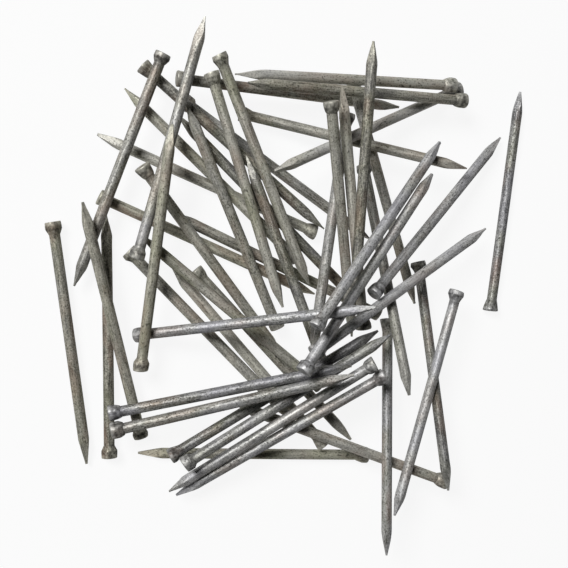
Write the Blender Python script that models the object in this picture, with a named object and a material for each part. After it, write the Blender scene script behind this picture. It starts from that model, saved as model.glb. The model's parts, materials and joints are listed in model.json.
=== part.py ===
"""A loose heap of lost-head wire nails, tipped out on a flat surface.

Every nail is one solid: a flared head, a round shank and a four-sided point.
The layout says where an eye above the heap sees each nail's head and point, and
which nail lies over which. The heap then settles: every nail sinks until the
surface and the nails under it carry it.
"""

import math

import bmesh
import bpy
import numpy as np
from mathutils import Matrix, Vector

# One nail, in metres
NAIL_LENGTH = 0.0500
SHANK_DIAMETER = 0.0022
HEAD_DIAMETER = 0.0034
HEAD_HEIGHT = 0.0026
HEAD_RIM_HEIGHT = 0.0010
POINT_LENGTH = 0.0043
TIP_WIDTH = 0.0003

# Clearance that a nail keeps to the nails that carry it
RESTING_GAP = 0.0003

# Sides of a round section, counted so that four corners of the point fall on them
ROUND_SIDES = 12
# Degrees of roll from one nail to the next, so that no two points look alike
ROLL_STEP = 137.5
# Edges that turn by more degrees than this are drawn sharp
SHARP_ANGLE = 40

# Spacing of the stations along a nail at which its clearance is worked out, and while the heap settles
STATION_SPACING = 0.0005
SETTLE_SPACING = 0.0010
# Rounds of placing the nails under the eye again at their new heights, and the share of the way each goes
PLACE_ROUNDS = 9
PLACE_EASE = 0.6
# Heights are kept to this many decimals of a metre, so that the heap settles alike on every computer
HEIGHT_DECIMALS = 5
# Rounds of balancing the contacts against the weight of the nails
BALANCE_ROUNDS = 1500
# How much a nail resists lying high or leaning, per metre, in weights of a nail
RELUCTANCE = 30

MILLIMETRE = 0.001

# The length of nail that the layout is written for; a longer nail spreads the heap in step
LAYOUT_LENGTH = 0.0500
# The eye over the heap: right, away and up, in millimetres from the middle of what it sees
EYE = (-46.2, 6.5, 194.5)

# Steel surfaces: colour, roughness
STEEL = {
    "dull": ((0.165, 0.160, 0.135), 0.48),
    "olive": ((0.150, 0.152, 0.112), 0.52),
    "bright": ((0.235, 0.240, 0.245), 0.34),
    "brown": ((0.170, 0.140, 0.110), 0.55),
}

# The layout, lowest nail first: name, where the eye sees the head and the point on the
# surface (right and away, in millimetres), steel surface
LAYOUT = (
    ("nail_left_alone", (-48.4, 12.8), (-41.5, -37.2), "dull"),
    ("nail_right_alone", (48.3, -6.4), (54.9, 44.0), "dull"),
    ("nail_level_1", (19.7, -37.9), (-31.5, -35.3), "olive"),
    ("nail_left_1", (-37.0, -35.8), (-37.7, 13.8), "brown"),
    ("nail_slant_1", (7.5, 10.9), (-40.1, 30.8), "dull"),
    ("nail_middle_1", (-39.6, 18.1), (7.2, -2.4), "brown"),
    ("nail_middle_2", (20.5, -6.2), (-23.1, 14.2), "olive"),
    ("nail_slant_2", (3.3, 4.8), (-34.4, 40.3), "olive"),
    ("nail_slant_3", (14.2, -1.5), (-22.6, 34.6), "dull"),
    ("nail_slant_4", (-22.2, 38.5), (19.8, 9.5), "dull"),
    ("nail_slant_5", (-30.7, 45.4), (9.1, 11.7), "dull"),
    ("nail_middle_3", (-31.1, 25.3), (0.0, -16.3), "dull"),
    ("nail_top_1", (-24.7, 42.9), (26.9, 38.9), "brown"),
    ("nail_upright_1", (14.9, 44.0), (30.0, -4.6), "dull"),
    ("nail_low_1", (9.2, -35.3), (-23.9, 3.1), "dull"),
    ("nail_low_2", (-19.2, 2.8), (15.1, -34.1), "dull"),
    ("nail_low_3", (-33.6, 7.3), (2.9, -30.2), "dull"),
    ("nail_low_4", (8.9, -22.7), (-31.5, 10.8), "olive"),
    ("nail_corner_1", (38.4, -44.9), (-10.3, -25.9), "dull"),
    ("nail_corner_2", (30.7, 3.8), (38.2, -45.4), "dull"),
    ("nail_corner_3", (39.9, -1.7), (25.7, -51.5), "bright"),
    ("nail_corner_4", (23.6, -7.1), (23.8, -61.1), "dull"),
    ("nail_upright_2", (17.0, 25.8), (28.9, -24.6), "brown"),
    ("nail_steep_1", (-1.1, -10.1), (-21.5, 37.7), "dull"),
    ("nail_left_2", (-25.9, 48.5), (-44.3, -1.0), "dull"),
    ("nail_left_3", (-30.3, -32.6), (-42.6, 17.2), "olive"),
    ("nail_left_4", (-31.5, 5.1), (-17.4, 56.1), "bright"),
    ("nail_top_2", (-10.1, 36.2), (42.1, 26.0), "olive"),
    ("nail_steep_2", (10.5, -21.5), (-8.6, 27.6), "dull"),
    ("nail_steep_3", (-16.3, 44.7), (-0.3, -5.3), "olive"),
    ("nail_steep_4", (-14.7, 48.7), (5.5, -0.3), "olive"),
    ("nail_top_3", (42.1, 44.7), (-4.4, 23.1), "dull"),
    ("nail_top_4", (38.2, 44.3), (-10.6, 44.4), "dull"),
    ("nail_top_5", (42.1, 41.0), (-9.2, 42.6), "dull"),
    ("nail_upright_3", (13.7, 36.6), (6.4, -14.8), "dull"),
    ("nail_upright_4", (9.8, 40.2), (15.6, -12.1), "dull"),
    ("nail_upright_5", (17.9, -9.7), (12.6, 42.6), "dull"),
    ("nail_upright_6", (15.8, -0.7), (19.7, 52.3), "dull"),
    ("nail_rising_1", (22.6, -20.4), (-22.7, -44.7), "bright"),
    ("nail_rising_2", (20.4, -17.6), (-24.4, -43.8), "bright"),
    ("nail_rising_3", (-24.1, -36.2), (20.9, -10.6), "dull"),
    ("nail_rising_4", (-20.5, -37.7), (23.3, -11.8), "dull"),
    ("nail_level_2", (-36.4, -26.7), (14.4, -18.1), "bright"),
    ("nail_level_3", (-35.8, -30.3), (14.9, -20.2), "bright"),
    ("nail_fan_1", (4.5, -16.2), (48.1, 13.7), "bright"),
    ("nail_fan_2", (19.2, -2.9), (50.1, 33.6), "bright"),
    ("nail_fan_3", (5.0, -18.7), (32.4, 23.8), "dull"),
    ("nail_level_4", (-32.3, -10.7), (21.4, -5.1), "bright"),
    ("nail_fan_4", (7.6, -8.5), (34.1, 30.6), "bright"),
    ("nail_left_5", (-30.7, -18.6), (-24.2, 33.8), "olive"),
)


def clear_scene():
    for old in list(bpy.data.objects):
        bpy.data.objects.remove(old, do_unlink=True)


def section(radius, squareness):
    """Points of a section across the nail, from round (0) to four-sided (1)."""
    points = []
    for side in range(ROUND_SIDES):
        angle = 2 * math.pi * (side + 0.5) / ROUND_SIDES
        flat = 1 / max(abs(math.cos(angle)), abs(math.sin(angle)))
        reach = radius * (1 + squareness * (flat - 1))
        points.append((reach * math.cos(angle), reach * math.sin(angle)))
    return points


def nail_mesh():
    """A nail along X about its middle, head at -X, lofted through its sections."""
    head_end = -NAIL_LENGTH / 2
    tip_end = NAIL_LENGTH / 2
    stations = (
        (head_end, HEAD_DIAMETER / 2, 0),
        (head_end + HEAD_RIM_HEIGHT, HEAD_DIAMETER / 2, 0),
        (head_end + HEAD_HEIGHT, SHANK_DIAMETER / 2, 0),
        (tip_end - POINT_LENGTH, SHANK_DIAMETER / 2, 0),
        (tip_end, TIP_WIDTH / 2, 1),
    )
    shape = bmesh.new()
    rings = []
    for along, radius, squareness in stations:
        rings.append([shape.verts.new((along, y, z)) for y, z in section(radius, squareness)])
    for near, far in zip(rings, rings[1:]):
        for side in range(ROUND_SIDES):
            after = (side + 1) % ROUND_SIDES
            shape.faces.new((near[side], near[after], far[after], far[side]))
    shape.faces.new(rings[0])
    shape.faces.new(rings[-1])
    bmesh.ops.recalc_face_normals(shape, faces=shape.faces[:])
    mesh = bpy.data.meshes.new("nail")
    shape.to_mesh(mesh)
    shape.free()
    mesh.shade_smooth()
    mesh.set_sharp_from_angle(angle=math.radians(SHARP_ANGLE))
    return mesh


class Heap:
    """Nails in the order of the layout, each lying over the ones before it."""

    def __init__(self, heads, points):
        count = 1 + math.ceil(NAIL_LENGTH / STATION_SPACING)
        self.along = np.linspace(-NAIL_LENGTH / 2, NAIL_LENGTH / 2, count)
        # The profile's corners, and the radius of the round bar that encloses the nail at each
        from_head = np.array((0, HEAD_RIM_HEIGHT, HEAD_HEIGHT, NAIL_LENGTH - POINT_LENGTH, NAIL_LENGTH))
        tip_diagonal = TIP_WIDTH * math.sqrt(2)
        across = np.array((HEAD_DIAMETER, HEAD_DIAMETER, SHANK_DIAMETER, SHANK_DIAMETER, tip_diagonal))
        self.corners = from_head - NAIL_LENGTH / 2
        self.corner_reach = across / 2
        self.reach = np.interp(self.along, self.corners, self.corner_reach)
        self.between = self.reach[:, None] + self.reach[None, :] + RESTING_GAP
        self.stride = max(1, round(SETTLE_SPACING / STATION_SPACING))
        spread = MILLIMETRE * (NAIL_LENGTH / LAYOUT_LENGTH)
        self.eye = np.array(EYE) * spread
        self.heads = np.array(heads) * spread
        self.points = np.array(points) * spread
        self.height = np.zeros(len(heads))
        self.climb = np.zeros(len(heads))

    def under_eye(self, seen, height):
        """Places at given heights on the sight lines that meet the surface at the seen places."""
        return seen + (self.eye[:2] - seen) * (height / self.eye[2])[:, None]

    def place(self):
        """Lays each nail in plan so that the eye sees its ends where the layout says."""
        head = self.under_eye(self.heads, self.height - self.climb)
        point = self.under_eye(self.points, self.height + self.climb)
        self.middle = (head + point) / 2
        ahead = point - head
        self.ahead = ahead / np.linalg.norm(ahead, axis=1)[:, None]
        self.draw_plan()

    def draw_plan(self):
        """The plan places of every nail's stations at its present slope."""
        self.rise = np.arcsin(self.climb / (NAIL_LENGTH / 2))
        spread = self.along[None, :, None] * np.cos(self.rise)[:, None, None]
        self.plan = self.middle[:, None, :] + spread * self.ahead[:, None, :]

    def over(self, upper, lower, stride=1):
        """How far a nail's stations must lie over another's to clear them, and 0 where they pass by."""
        apart = self.plan[upper][::stride, None] - self.plan[lower][None, ::stride]
        clear = self.between[::stride, ::stride] ** 2 - (apart**2).sum(axis=2)
        return np.sqrt(np.maximum(clear, 0))

    def contacts(self):
        """What holds the nails up: a row over their heights and climbs, and the height that it asks for."""
        count = len(self.height)
        share = self.along[::self.stride] / (NAIL_LENGTH / 2)
        rows = []
        asked = []
        for upper in range(count):
            for corner, reach in zip(self.corners, self.corner_reach):
                row = np.zeros(2 * count)
                row[upper] = 1
                row[count + upper] = corner / (NAIL_LENGTH / 2)
                rows.append(row)
                asked.append(reach)
            for lower in range(upper):
                over = self.over(upper, lower, self.stride)
                for station in np.nonzero(over.max(axis=1))[0]:
                    carrier = over[station].argmax()
                    row = np.zeros(2 * count)
                    row[upper] = 1
                    row[count + upper] = share[station]
                    row[lower] = -1
                    row[count + lower] = -share[carrier]
                    rows.append(row)
                    asked.append(over[station, carrier])
        return np.array(rows), np.array(asked)

    def settle(self):
        """Lets the whole heap sink until the pushes at its contacts carry its weight."""
        rows, asked = self.contacts()
        count = len(self.height)
        weight = np.concatenate((np.ones(count), np.zeros(count)))
        step = RELUCTANCE / np.linalg.norm(rows, 2) ** 2
        push = np.zeros(len(rows))
        trial = push
        pace = 1.0
        for _ in range(BALANCE_ROUNDS):
            lying = (rows.T @ trial - weight) / RELUCTANCE
            pushed = np.maximum(trial + step * (asked - rows @ lying), 0)
            quicker = (1 + math.sqrt(1 + 4 * pace**2)) / 2
            trial = pushed + (pace - 1) / quicker * (pushed - push)
            push = pushed
            pace = quicker
        lying = (rows.T @ push - weight) / RELUCTANCE
        self.height = np.round(self.height + PLACE_EASE * (lying[:count] - self.height), HEIGHT_DECIMALS)
        self.climb = np.round(self.climb + PLACE_EASE * (lying[count:] - self.climb), HEIGHT_DECIMALS)

    def drop(self):
        """Brings each nail, at its own slope, to the lowest height that clears every nail under it."""
        levels = []
        for upper in range(len(self.height)):
            slope = self.along * math.sin(self.rise[upper])
            lowest = self.reach - slope
            for lower in range(upper):
                over = self.over(upper, lower)
                carried = np.where(over > 0, levels[lower][None, :] + over, 0)
                lowest = np.maximum(lowest, carried.max(axis=1) - slope)
            self.height[upper] = lowest.max()
            levels.append(self.height[upper] + slope)


def settled_heap():
    heap = Heap([row[1] for row in LAYOUT], [row[2] for row in LAYOUT])
    for _ in range(PLACE_ROUNDS):
        heap.place()
        heap.settle()
    heap.draw_plan()
    heap.drop()
    return heap


def steel(name, kind):
    colour, roughness = STEEL[kind]
    material = bpy.data.materials.new("steel_" + name)
    material.use_nodes = True
    shader = material.node_tree.nodes["Principled BSDF"]
    shader.inputs["Base Color"].default_value = (*colour, 1)
    shader.inputs["Metallic"].default_value = 1
    shader.inputs["Roughness"].default_value = roughness
    material.diffuse_color = (*colour, 1)
    return material


def place_nails(mesh, heap):
    nails = []
    for index, (name, _, _, kind) in enumerate(LAYOUT):
        nail = bpy.data.objects.new(name, mesh.copy())
        nail.data.materials.append(steel(name, kind))
        turn = Matrix.Rotation(math.atan2(heap.ahead[index][1], heap.ahead[index][0]), 4, "Z")
        lean = Matrix.Rotation(-heap.rise[index], 4, "Y")
        roll = Matrix.Rotation(math.radians(ROLL_STEP * index), 4, "X")
        nail.matrix_world = Matrix.Translation((*heap.middle[index], heap.height[index])) @ turn @ lean @ roll
        bpy.context.scene.collection.objects.link(nail)
        nails.append(nail)
    return nails


def stand_on_origin(nails):
    """Moves the heap so that the middle of its underside is the origin."""
    corners = [nail.matrix_world @ vertex.co for nail in nails for vertex in nail.data.vertices]
    low = Vector([min(corner[axis] for corner in corners) for axis in range(3)])
    high = Vector([max(corner[axis] for corner in corners) for axis in range(3)])
    shift = Vector(((low.x + high.x) / 2, (low.y + high.y) / 2, low.z))
    for nail in nails:
        nail.matrix_world = Matrix.Translation(-shift) @ nail.matrix_world
    print("heap", *[f"{size / MILLIMETRE:.2f}" for size in high - low], "millimetres")
    print("moved by", *[f"{part / MILLIMETRE:.2f}" for part in shift])


clear_scene()
pattern = nail_mesh()
heap_nails = place_nails(pattern, settled_heap())
bpy.data.meshes.remove(pattern)
stand_on_origin(heap_nails)
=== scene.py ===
"""Looks of the heap of lost-head wire nails: a finer nail for every solid, steel, floor, light and camera."""

import json
import math

import bpy
import numpy as np
from mathutils import Matrix, Vector


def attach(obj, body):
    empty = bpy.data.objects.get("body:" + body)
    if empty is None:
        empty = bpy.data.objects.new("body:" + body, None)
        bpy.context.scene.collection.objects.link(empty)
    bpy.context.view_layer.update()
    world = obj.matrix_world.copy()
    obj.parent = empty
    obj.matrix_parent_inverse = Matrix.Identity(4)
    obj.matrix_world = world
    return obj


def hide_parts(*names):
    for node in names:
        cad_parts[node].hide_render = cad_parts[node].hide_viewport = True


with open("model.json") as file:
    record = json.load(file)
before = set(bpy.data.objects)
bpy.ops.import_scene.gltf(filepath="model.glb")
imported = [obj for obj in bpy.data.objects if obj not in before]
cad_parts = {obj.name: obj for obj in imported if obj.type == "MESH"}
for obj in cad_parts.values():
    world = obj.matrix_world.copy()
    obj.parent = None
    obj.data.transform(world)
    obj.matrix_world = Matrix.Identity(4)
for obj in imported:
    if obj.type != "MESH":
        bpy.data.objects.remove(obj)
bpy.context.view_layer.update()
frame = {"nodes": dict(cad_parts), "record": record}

# The view: the camera stands off the plumb line, to the left, and looks at the surface
VIEW_TILT = math.radians(13.5)
VIEW_BEARING = math.radians(172)
VIEW_DISTANCE = 0.200
VIEW_MIDDLE = (-0.00242, 0.00174, 0)
VIEW_LENS = 58.8
VIEW_NEAREST = 0.005
SENSOR_WIDTH = 36

# The light: one soft lamp that looks at the origin, and a little from all around
KEY_PLACE = (-0.54, 0.445, 0.775)
KEY_SIZE = 0.40
KEY_ENERGY = 13.1
WORLD_STRENGTH = 0.02
WHITE = (1, 1, 1, 1)

# The floor, and the sweep that it rises to far behind the heap on every side
FLOOR_LEVEL = -0.00012
FLOOR_HALF = 2.4
SWEEP_HALF = 3.0
SWEEP_HEIGHT = 0.5
FLOOR_COLOUR = (0.7, 0.7, 0.7, 1)
# How much of the floor looks plain white; the rest takes light and shadow
FLOOR_WHITE = 0.9

# Reading a solid: decimals that tell points and rings apart, and the reach of an end and of a ring
POINT_DECIMALS = 7
RING_DECIMALS = 4
END_REACH = 0.0001
RING_REACH = 0.00006

# The finer nail: points round it, rings along it, and the turn at which an edge is sharp
SIDES = 48
SHANK_RINGS = 30
CONE_RINGS = 7
POINT_RINGS = 16
SHARP_ANGLE = math.radians(32)

# Face of the head, from its middle outwards: share of its radius, share of its hollow
FACE_RINGS = ((0.18, 1.0), (0.5, 0.9), (0.8, 0.35))
FACE_DEPTH = 0.00006
# Rounded edge: distance from the top, share of the face's radius
EDGE_RINGS = ((FACE_DEPTH, 0.90), (0.00009, 0.955), (0.00018, 0.985), (0.00034, 1.0))
# Barrel of the rim: share of the way to its back, share of its radius there, and of the face's tilt
BARREL_RINGS = ((0.65, 1.005), (0.85, 1.0), (1.0, 0.99))
BARREL_TILT = 0.3
# Share of the barrel's radius at which the cone starts, and the shortest cone
CONE_START = 0.985
LEAST_CONE = 0.0006
# The flats of the point start this share of its length before its shoulder
POINT_LEAD = 0.2
# Where the burr stands, as a share of the point, and how the tip curves to its side
BURR_PLACE = 0.12
TIP_CURVE = 1.5
# Keeps a division from meeting zero
TINY = 1e-6

# How far one nail may differ from the next: shares of a radius or length, metres, or angles
RIM_UNEVEN = 0.02
RIM_LOBES = (2, 3, 5)
HEAD_SHIFT = 0.00007
HEAD_TILT = math.radians(5)
HEAD_SCALE = (0.93, 1.03)
HEAD_FLARE = (-0.07, 0.10)
RIM_SCALE = (0.9, 1.8)
NECK_SCALE = (0.85, 1.1)
CONE_HOLLOW = (0.5, 1.35)
FACE_HOLLOW = (0.0, 0.00006)
BOW = 0.00006
TIP_SHIFT = 0.00010
TIP_SCALE = (0.8, 1.7)
FLAT_LEAD = (0.0, 0.16)
BURR = 0.05
ANY_ANGLE = (0, 6.3)
PATTERN_SHIFT = 5
FIRST_SEED = 1000

# Steel surfaces: roughness, strength of the grain, and shares of olive, brown and blue cast
STEEL = {
    "steel_dull": (0.52, 0.44, 0.27, 0.30, 0.18),
    "steel_olive": (0.54, 0.36, 0.50, 0.28, 0.0),
    "steel_bright": (0.51, 0.44, 0.15, 0.22, 0.34),
    "steel_brown": (0.54, 0.40, 0.22, 0.56, 0.0),
}
# Clean and worn wire, each as grey as it gets and as warm as it gets
CLEAN_GREY = (0.56, 0.56, 0.557, 1)
CLEAN_WARM = (0.575, 0.555, 0.46, 1)
WORN_GREY = (0.085, 0.084, 0.084, 1)
WORN_WARM = (0.088, 0.084, 0.068, 1)
OLIVE = (0.33, 0.335, 0.22, 1)
BROWN = (0.33, 0.22, 0.165, 1)
BLUE = (0.37, 0.37, 0.42, 1)
# Dark colour of the pits, flecks and head blotches, and also of the painted shade in the head's creases
SOOT_AND_SHADE = (0.022, 0.020, 0.018, 1)

# How warm the wire looks in each part of the heap, from grey to warm, and single nails that differ
WARMTH = {
    "left": 0.85, "right": 0.0, "slant": 0.65, "middle": 0.75, "low": 0.70, "steep": 0.70,
    "top": 0.65, "upright": 0.70, "corner": 0.30, "fan": 0.0, "rising": 0.20, "level": 0.10,
}
WARMTH_OF_ONE = {
    "nail_left_2": 0.45, "nail_left_4": 0.5, "nail_level_1": 0.75, "nail_level_3": 0.3, "nail_level_4": 0.0,
    "nail_corner_1": 0.6, "nail_corner_3": 0.05, "nail_corner_4": 0.0, "nail_upright_2": 0.45,
    "nail_upright_3": 0.3, "nail_upright_6": 0.9, "nail_top_3": 0.3, "nail_top_4": 0.45, "nail_top_5": 0.8,
    "nail_slant_4": 0.35, "nail_middle_1": 1.0, "nail_rising_1": 0.0,
}
# Nails made paler or darker than the rest: each nail's own tone, and for some of the paler ones (values below
# zero) painted light that makes up for the shadows other nails cast on them
WEAR_AND_PAINTED_LIGHT = (
    (-0.42, ("nail_top_3", "nail_top_4")),
    (-0.28, (
        "nail_fan_1", "nail_slant_1", "nail_slant_2", "nail_level_1", "nail_low_1", "nail_upright_5",
    )),
    (-0.13, (
        "nail_middle_1", "nail_middle_3", "nail_low_4", "nail_rising_2", "nail_upright_4", "nail_left_5",
        "nail_fan_2", "nail_fan_3", "nail_fan_4", "nail_corner_1", "nail_corner_3", "nail_steep_3",
        "nail_steep_4", "nail_top_2",
    )),
    (0.12, ("nail_left_alone", "nail_left_2", "nail_middle_2", "nail_rising_4", "nail_level_3")),
    (0.25, (
        "nail_right_alone", "nail_slant_5", "nail_steep_2", "nail_corner_2", "nail_upright_6", "nail_left_1",
        "nail_level_2",
    )),
    (0.37, ("nail_slant_3", "nail_rising_3")),
)

# Patterns in the steel: features in a metre, detail, roughness
MOTTLE = (620, 5, 0.65)
GRAIN = (3000, 3, 0.7)
DRAW_LINES = (3600, 3, 0.6)
PATCHES = (170, 3, 0.55)
OTHER_PATCHES = (190, 3, 0.55)
FLECKS = (3400, 2, 0.5)
BLOTCHES = (1500, 3, 0.6)
PITS_PER_METRE = 1700
# Pace of a pattern along the nail against its pace across, and what sets the other patches apart
LINE_PACE = 0.06
SLOW_PACE = 0.45
APART_PACE = 0.5
APART_SHIFT = (0.3, 0.7, 0.2)

# Wire: share of the drawn lines in its tone, and the patterns' values between which a layer comes in
LINE_SHARE = 0.32
TONE_RANGE = (0.39, 0.60)
OLIVE_RANGE = (0.46, 0.64)
BROWN_RANGE = (0.50, 0.66)
BLUE_RANGE = (0.50, 0.36)
PIT_RANGE = (0.36, 0.16)
PIT_MOTTLE_RANGE = (0.48, 0.60)
FLECK_RANGE = (0.57, 0.66)
FLECK_PATCH_RANGE = (0.40, 0.55)
PIT_COVER = 0.70
# Painted shade in the crease behind the rim and where the cone runs out: where each of its two bands comes in
# and goes out, in heights of the rim
CREASE_SHADE_BEHIND = ((0.85, 1.15), (2.0, 1.3))
CREASE_SHADE_ENDING = ((2.3, 2.7), (3.6, 2.9))
CREASE_SHADE_RANGE = (0.62, 0.42)
CREASE_SHADE_COVER = 0.5
# Upset head: where its blotches fade out, in lengths of the head, and where it is dark or bright
HEAD_FADE = (1.05, 0.75)
BLOTCH_RANGE = (0.46, 0.58)
BLOTCH_COVER = 0.55
SPECK_RANGE = (0.42, 0.34)
SPECK_COVER = 0.6
# Clean steel: length over which the cut flats come in, their share, and how much of the rim is fully rubbed
CUT_FADE = 0.0010
CUT_SHARE = 0.5
RUB_FADE = 0.5
CLEAN_RANGE = (0.35, 0.6)
CLEAN_COVER = 0.5
# Gloss: spread of the roughness, what clean steel takes off it, metal on the wire and on the cut flats
ROUGH_SPREAD = 0.24
CLEAN_GLOSS = 0.06
METAL = (0.44, 0.48)
SPECULAR_LEVEL = 0.1
SPECULAR_TINT = (0.1, 0.1, 0.1, 1)
# Relief: shares of grain and lines, strength, depth
GRAIN_RELIEF = 0.6
LINE_RELIEF = 0.5
RELIEF_STRENGTH = 0.55
RELIEF_DEPTH = 0.00004


def ring_profile(points):
    """Head middle, direction to the point, a corner direction of the point, and the rings of a CAD nail."""
    points = np.unique(np.round(points, POINT_DECIMALS), axis=0)
    middle = points.mean(axis=0)
    ahead = np.linalg.svd(points - middle)[2][0]
    along = (points - middle) @ ahead
    across = np.linalg.norm(points - middle - np.outer(along, ahead), axis=1)
    if across[along.argmax()] > across[along.argmin()]:
        ahead, along = -ahead, -along
    along = along - along.min()
    head = points[along < END_REACH].mean(axis=0)
    tip = points[along > along.max() - END_REACH]
    ahead = tip.mean(axis=0) - head
    ahead = ahead / np.linalg.norm(ahead)
    along = (points - head) @ ahead
    across = np.linalg.norm(points - head - np.outer(along, ahead), axis=1)
    rings = []
    for station in sorted(set(np.round(along, RING_DECIMALS))):
        there = np.abs(along - station) < RING_REACH
        rings.append((along[there].mean(), across[there].max()))
    corner = tip[np.linalg.norm(tip - tip.mean(axis=0), axis=1).argmax()] - tip.mean(axis=0)
    corner = corner - ahead * (corner @ ahead)
    return head, ahead, corner / np.linalg.norm(corner), rings


def nail_rings(rings, draw):
    """Sections of one nail from the head's face to the tip: arrays of SIDES points across X."""
    (_, head_radius), (rim, _), (neck, shank), (shoulder, _), (length, tip_corner) = rings
    turn = np.arange(SIDES) * 2 * math.pi / SIDES
    lobes = sum(draw.uniform(-1, 1) * np.cos(k * turn + draw.uniform(*ANY_ANGLE)) for k in RIM_LOBES)
    rim_shape = 1 + RIM_UNEVEN * lobes
    head_shift = draw.uniform(-HEAD_SHIFT, HEAD_SHIFT, 2)
    face_tilt = np.tan(draw.uniform(-HEAD_TILT, HEAD_TILT, 2))
    bow = draw.uniform(-BOW, BOW, 2)
    tip_shift = draw.uniform(-TIP_SHIFT, TIP_SHIFT, 2)
    tip_half = tip_corner / math.sqrt(2) * draw.uniform(*TIP_SCALE)
    flat_lead = draw.uniform(*FLAT_LEAD)
    burr_side = draw.uniform(*ANY_ANGLE)
    # Some heads are widest at the face, some behind it, and the cone is long or short
    head_radius = head_radius * draw.uniform(*HEAD_SCALE)
    flare = draw.uniform(*HEAD_FLARE)
    face_radius = head_radius * min(1, 1 + flare)
    back_radius = head_radius * min(1, 1 - flare)
    rim = rim * draw.uniform(*RIM_SCALE)
    neck = max(neck * draw.uniform(*NECK_SCALE), rim + LEAST_CONE)
    hollowing = draw.uniform(*CONE_HOLLOW)
    hollow = draw.uniform(*FACE_HOLLOW)
    found = []

    def add(x, reach, shift=(0, 0), tilt=0.0, sunk=0.0):
        sag = 1 - (2 * x / length - 1) ** 2
        y = reach * np.cos(turn) + bow[0] * sag + shift[0]
        z = reach * np.sin(turn) + bow[1] * sag + shift[1]
        lean = tilt * (face_tilt[0] * y + face_tilt[1] * z)
        found.append(np.column_stack((x + sunk + lean, y, z)))

    # Face with a faint hollow, rounded edge, barrel of the rim
    for share, sunk in FACE_RINGS:
        add(0, face_radius * share, head_shift, 1, hollow * sunk + FACE_DEPTH)
    for x, share in EDGE_RINGS:
        add(x, face_radius * share * rim_shape, head_shift, 1)
    for share, width in BARREL_RINGS:
        reach = (face_radius + (back_radius - face_radius) * share) * width
        add(rim * share, reach * rim_shape, head_shift, BARREL_TILT)
    # Cone that hollows into the shank
    for ring in range(1, CONE_RINGS + 1):
        t = ring / CONE_RINGS
        reach = shank + (back_radius * CONE_START - shank) * (1 - t) ** hollowing
        add(rim + (neck - rim) * t, reach * (1 + (rim_shape - 1) * (1 - t)), head_shift * (1 - t))
    # Shank
    start = shoulder - POINT_LEAD * (length - shoulder)
    for ring in range(1, SHANK_RINGS):
        add(neck + (start - neck) * ring / SHANK_RINGS, shank)
    # Point: four flats cut into the round, with a slight burr where they start
    flat_y = np.abs(np.cos(turn - math.pi / 4))
    flat_z = np.abs(np.sin(turn - math.pi / 4))
    for ring in range(POINT_RINGS + 1):
        t = ring / POINT_RINGS
        wide = shank + (tip_half - shank) * t
        narrow = shank + (tip_half - shank) * min(1, t * (1 + flat_lead) + flat_lead * (1 - t))
        flats = np.minimum(wide / np.maximum(flat_y, TINY), narrow / np.maximum(flat_z, TINY))
        height = BURR * math.exp(-((t - BURR_PLACE) / BURR_PLACE) ** 2)
        bulge = 1 + height * (1 + np.cos(2 * turn - burr_side)) / 2
        add(start + (length - start) * t, np.minimum(shank * bulge, flats), tip_shift * t**TIP_CURVE)
    return found


def nail_object(name, rings, draw, pose, looks):
    """A nail in its place. Each point also keeps where it lies on the nail, for the steel's patterns."""
    sections = nail_rings(rings, draw)
    verts = np.vstack(sections + [sections[0].mean(axis=0)[None], sections[-1].mean(axis=0)[None]])
    faces = []
    for ring in range(len(sections) - 1):
        near = ring * SIDES
        far = near + SIDES
        for side in range(SIDES):
            after = (side + 1) % SIDES
            faces.append((near + after, near + side, far + side, far + after))
    face_middle = len(verts) - 2
    tip_middle = len(verts) - 1
    last = (len(sections) - 1) * SIDES
    for side in range(SIDES):
        after = (side + 1) % SIDES
        faces.append((side, after, face_middle))
        faces.append((last + after, last + side, tip_middle))
    mesh = bpy.data.meshes.new(name)
    mesh.from_pydata(verts.tolist(), [], faces)
    # The patterns shift across the nail, so that no two nails are marked alike
    places = verts + draw.uniform(0, PATTERN_SHIFT, 3) * (0, 1, 1)
    own = mesh.attributes.new("on_nail", "FLOAT_VECTOR", "POINT")
    own.data.foreach_set("vector", places.astype(np.float32).ravel())
    for look, amount in looks.items():
        layer = mesh.attributes.new(look, "FLOAT", "POINT")
        layer.data.foreach_set("value", np.full(len(verts), amount, np.float32))
    mesh.transform(pose)
    mesh.shade_smooth()
    mesh.set_sharp_from_angle(angle=SHARP_ANGLE)
    nail = bpy.data.objects.new(name, mesh)
    bpy.context.scene.collection.objects.link(nail)
    return nail


class Nodes:
    """A small helper for building a node tree."""

    def __init__(self, material):
        material.use_nodes = True
        self.tree = material.node_tree
        self.tree.nodes.clear()

    def feed(self, socket, value):
        if isinstance(value, bpy.types.NodeSocket):
            self.tree.links.new(value, socket)
        else:
            socket.default_value = value

    def add(self, kind, values=None, **settings):
        node = self.tree.nodes.new(kind)
        for key, value in settings.items():
            setattr(node, key, value)
        for key, value in (values or {}).items():
            self.feed(node.inputs[key], value)
        return node

    def attribute(self, name, output):
        return self.add("ShaderNodeAttribute", attribute_name=name).outputs[output]

    def math(self, operation, first, second, clamp=False):
        node = self.add("ShaderNodeMath", {0: first, 1: second}, operation=operation, use_clamp=clamp)
        return node.outputs[0]

    def times(self, first, second):
        return self.math("MULTIPLY", first, second)

    def span(self, value, low, high, to_low=0.0, to_high=1.0):
        values = {"Value": value, "From Min": low, "From Max": high, "To Min": to_low, "To Max": to_high}
        return self.add("ShaderNodeMapRange", values, clamp=True).outputs["Result"]

    def mix(self, share, first, second):
        node = self.add("ShaderNodeMix", {0: share, 6: first, 7: second}, data_type="RGBA")
        return node.outputs[2]

    def stretched(self, place, pace, shift=(0, 0, 0)):
        values = {"Vector": place, "Location": shift, "Scale": (pace, 1, 1)}
        return self.add("ShaderNodeMapping", values).outputs[0]

    def noise(self, place, scale, detail, rough):
        values = {"Vector": place, "Scale": scale, "Detail": detail, "Roughness": rough}
        return self.add("ShaderNodeTexNoise", values, noise_dimensions="3D").outputs["Fac"]


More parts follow.
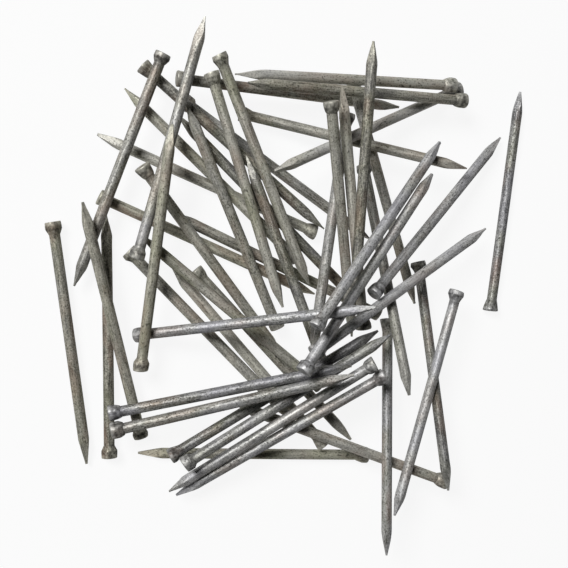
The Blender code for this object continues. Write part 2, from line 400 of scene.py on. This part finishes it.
def steel_patterns(n, own):
    """Patterns that the layers of the steel share, from where a point lies on its nail."""
    slow = n.stretched(own, SLOW_PACE)
    patterns = {
        "mottle": n.noise(slow, *MOTTLE),
        "grain": n.noise(own, *GRAIN),
        "lines": n.noise(n.stretched(own, LINE_PACE), *DRAW_LINES),
        "patches": n.noise(slow, *PATCHES),
        "other_patches": n.noise(n.stretched(own, APART_PACE, APART_SHIFT), *OTHER_PATCHES),
        "blotches": n.noise(own, *BLOTCHES),
    }
    cells = n.add("ShaderNodeTexVoronoi", {"Vector": own, "Scale": PITS_PER_METRE}, feature="F1")
    pits = n.span(cells.outputs["Distance"], *PIT_RANGE)
    pits = n.times(pits, n.span(patterns["mottle"], *PIT_MOTTLE_RANGE))
    flecks = n.span(n.noise(slow, *FLECKS), *FLECK_RANGE)
    flecks = n.times(flecks, n.span(patterns["patches"], *FLECK_PATCH_RANGE))
    patterns["pitted"] = n.math("MAXIMUM", pits, flecks)
    return patterns


def wire_colour(n, slot, patterns, light, dark):
    """Mottled wire with pits, and casts that come and go along it."""
    _, speckle, olive, brown, blue = STEEL[slot]
    mottle = n.times(patterns["mottle"], 1 - LINE_SHARE - speckle)
    tone = n.math("ADD", mottle, n.times(patterns["grain"], speckle))
    tone = n.math("ADD", tone, n.times(patterns["lines"], LINE_SHARE))
    # Per-nail shift towards the dark tone: the nail's own wear, and where the value is below zero partly
    # painted light that lifts a nail lying in other nails' shadow
    wear_and_painted_light = n.attribute("wear_and_painted_light", "Fac")
    colour = n.mix(n.math("SUBTRACT", n.span(tone, *TONE_RANGE), wear_and_painted_light, True), dark, light)
    other = patterns["other_patches"]
    colour = n.mix(n.times(n.span(patterns["patches"], *OLIVE_RANGE), olive), colour, OLIVE)
    colour = n.mix(n.times(n.span(other, *BROWN_RANGE), brown), colour, BROWN)
    colour = n.mix(n.times(n.span(other, *BLUE_RANGE), blue), colour, BLUE)
    return n.mix(n.times(patterns["pitted"], PIT_COVER), colour, SOOT_AND_SHADE)


def head_colour(n, colour, patterns, along, rim, neck, light):
    """Painted shade in the crease behind the rim and where the cone runs out, and the head's dark blotches
    with bright specks.
    """
    # Painted shade: two dark bands, in the crease behind the rim and where the cone runs into the shank,
    # broken up by the patches
    bands = []
    for comes, goes in (CREASE_SHADE_BEHIND, CREASE_SHADE_ENDING):
        start = n.span(along, rim * comes[0], rim * comes[1])
        bands.append(n.times(start, n.span(along, rim * goes[0], rim * goes[1])))
    crease_shade = n.times(n.math("MAXIMUM", *bands), n.span(patterns["patches"], *CREASE_SHADE_RANGE))
    colour = n.mix(n.times(crease_shade, CREASE_SHADE_COVER), colour, SOOT_AND_SHADE)
    headed = n.span(along, neck * HEAD_FADE[0], neck * HEAD_FADE[1])
    blotched = n.times(n.span(patterns["blotches"], *BLOTCH_RANGE), headed)
    colour = n.mix(n.times(blotched, BLOTCH_COVER), colour, SOOT_AND_SHADE)
    specks = n.times(n.span(patterns["blotches"], *SPECK_RANGE), headed)
    return n.mix(n.times(specks, SPECK_COVER), colour, light)


def steel_material(slot, rim, neck, shoulder):
    """Steel of one slot, for nails with these distances from their tops to rim, neck and shoulder."""
    material = bpy.data.materials.new(slot + "_wire")
    n = Nodes(material)
    own = n.attribute("on_nail", "Vector")
    along = n.add("ShaderNodeSeparateXYZ", {0: own}).outputs[0]
    warmth = n.attribute("warmth", "Fac")
    light = n.mix(warmth, CLEAN_GREY, CLEAN_WARM)
    dark = n.mix(warmth, WORN_GREY, WORN_WARM)
    patterns = steel_patterns(n, own)
    colour = wire_colour(n, slot, patterns, light, dark)
    colour = head_colour(n, colour, patterns, along, rim, neck, light)
    # Cut flats of the point and the rubbed rim show cleaner steel
    cut = n.span(along, shoulder, shoulder + CUT_FADE)
    rubbed = n.span(along, rim, rim * RUB_FADE)
    clean = n.math("MAXIMUM", n.times(cut, CUT_SHARE), rubbed)
    clean = n.times(clean, n.span(patterns["mottle"], *CLEAN_RANGE))
    colour = n.mix(n.times(clean, CLEAN_COVER), colour, light)

    rough = n.math("ADD", n.times(patterns["mottle"], ROUGH_SPREAD), STEEL[slot][0] - ROUGH_SPREAD / 2)
    rough = n.math("SUBTRACT", rough, n.times(clean, CLEAN_GLOSS), True)
    relief = n.math("ADD", n.times(patterns["grain"], GRAIN_RELIEF), n.times(patterns["lines"], LINE_RELIEF))
    relief = n.math("SUBTRACT", relief, patterns["pitted"])
    bump = n.add("ShaderNodeBump", {"Strength": RELIEF_STRENGTH, "Distance": RELIEF_DEPTH, "Height": relief})
    shader = n.add("ShaderNodeBsdfPrincipled", {
        "Base Color": colour,
        "Metallic": n.span(cut, 0, 1, *METAL),
        "Roughness": rough,
        "Normal": bump.outputs[0],
        "Specular IOR Level": SPECULAR_LEVEL,
        "Specular Tint": SPECULAR_TINT,
    })
    n.add("ShaderNodeOutputMaterial", {0: shader.outputs[0]})
    return material


def dress_nails():
    """A finer nail in place of every solid, on the same body."""
    record = frame["record"]
    slots = {part["node"]: part["material_slot"] for part in record["subparts"]}
    carriers = {node: body for body, nodes in record["behaviour"]["bodies"].items() for node in nodes}
    materials = {}
    for index, node in enumerate(sorted(slots)):
        solid = frame["nodes"][node]
        points = np.array([vertex.co for vertex in solid.data.vertices])
        head, ahead, corner, rings = ring_profile(points)
        slot = slots[node]
        if slot not in materials:
            materials[slot] = steel_material(slot, rings[1][0], rings[2][0], rings[3][0])
        # Y looks at a corner of the point
        side = np.cross(ahead, corner)
        pose = Matrix([[ahead[k], corner[k], side[k], head[k]] for k in range(3)] + [[0, 0, 0, 1]])
        warmth = WARMTH_OF_ONE.get(node, WARMTH[node.split("_")[1]])
        # Wear of this nail; a value below zero is partly painted light for a nail in other nails' shadow
        looks = {"warmth": warmth, "wear_and_painted_light": sum(amount for amount, nails in WEAR_AND_PAINTED_LIGHT if node in nails)}
        nail = nail_object("fine_" + node, rings, np.random.default_rng(FIRST_SEED + index), pose, looks)
        nail.data.materials.append(materials[slot])
        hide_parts(node)
        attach(nail, carriers[node])


def floor_material():
    """Plain white to the eye and in reflections, with a share that takes light and shadow."""
    material = bpy.data.materials.new("pale_floor")
    n = Nodes(material)
    path = n.add("ShaderNodeLightPath")
    seen = n.math("MAXIMUM", path.outputs["Is Camera Ray"], path.outputs["Is Glossy Ray"])
    seen = n.math("MAXIMUM", seen, path.outputs["Is Transmission Ray"])
    pale = n.add("ShaderNodeBsdfDiffuse", {"Color": FLOOR_COLOUR})
    white = n.add("ShaderNodeEmission", {"Color": WHITE, "Strength": 1.0})
    share = n.times(seen, FLOOR_WHITE)
    both = n.add("ShaderNodeMixShader", {0: share, 1: pale.outputs[0], 2: white.outputs[0]})
    n.add("ShaderNodeOutputMaterial", {0: both.outputs[0]})
    return material


def floor():
    mesh = bpy.data.meshes.new("floor")
    signs = ((-1, -1), (1, -1), (1, 1), (-1, 1))
    flat = [(x * FLOOR_HALF, y * FLOOR_HALF, FLOOR_LEVEL) for x, y in signs]
    top = [(x * SWEEP_HALF, y * SWEEP_HALF, SWEEP_HEIGHT) for x, y in signs]
    sweep = [(side, side + 4, (side + 1) % 4 + 4, (side + 1) % 4) for side in range(4)]
    mesh.from_pydata(flat + top, [], [(0, 1, 2, 3)] + sweep)
    mesh.materials.append(floor_material())
    ground = bpy.data.objects.new("floor", mesh)
    bpy.context.scene.collection.objects.link(ground)


def studio():
    data = bpy.data.lights.new("key", "AREA")
    data.shape = "SQUARE"
    data.size = KEY_SIZE
    data.energy = KEY_ENERGY
    key = bpy.data.objects.new("key", data)
    key.location = KEY_PLACE
    key.rotation_euler = (-Vector(KEY_PLACE)).to_track_quat("-Z", "Y").to_euler()
    bpy.context.scene.collection.objects.link(key)
    world = bpy.data.worlds.new("studio")
    bpy.context.scene.world = world
    world.use_nodes = True
    around = world.node_tree.nodes["Background"].inputs
    around["Color"].default_value = WHITE
    around["Strength"].default_value = WORLD_STRENGTH


def camera():
    back = Vector((
        math.sin(VIEW_TILT) * math.cos(VIEW_BEARING),
        math.sin(VIEW_TILT) * math.sin(VIEW_BEARING),
        math.cos(VIEW_TILT),
    ))
    right = Vector((1, 0, 0))
    right = (right - back * right.dot(back)).normalized()
    up = back.cross(right)
    eye = Vector(VIEW_MIDDLE) + back * VIEW_DISTANCE
    data = bpy.data.cameras.new("view")
    data.sensor_width = SENSOR_WIDTH
    data.lens = VIEW_LENS
    data.clip_start = VIEW_NEAREST
    view = bpy.data.objects.new("view", data)
    view.matrix_world = Matrix([[right[k], up[k], back[k], eye[k]] for k in range(3)] + [[0, 0, 0, 1]])
    bpy.context.scene.collection.objects.link(view)
    bpy.context.scene.camera = view


dress_nails()
floor()
studio()
camera()
bpy.context.scene.view_settings.view_transform = "Standard"

bpy.context.view_layer.update()
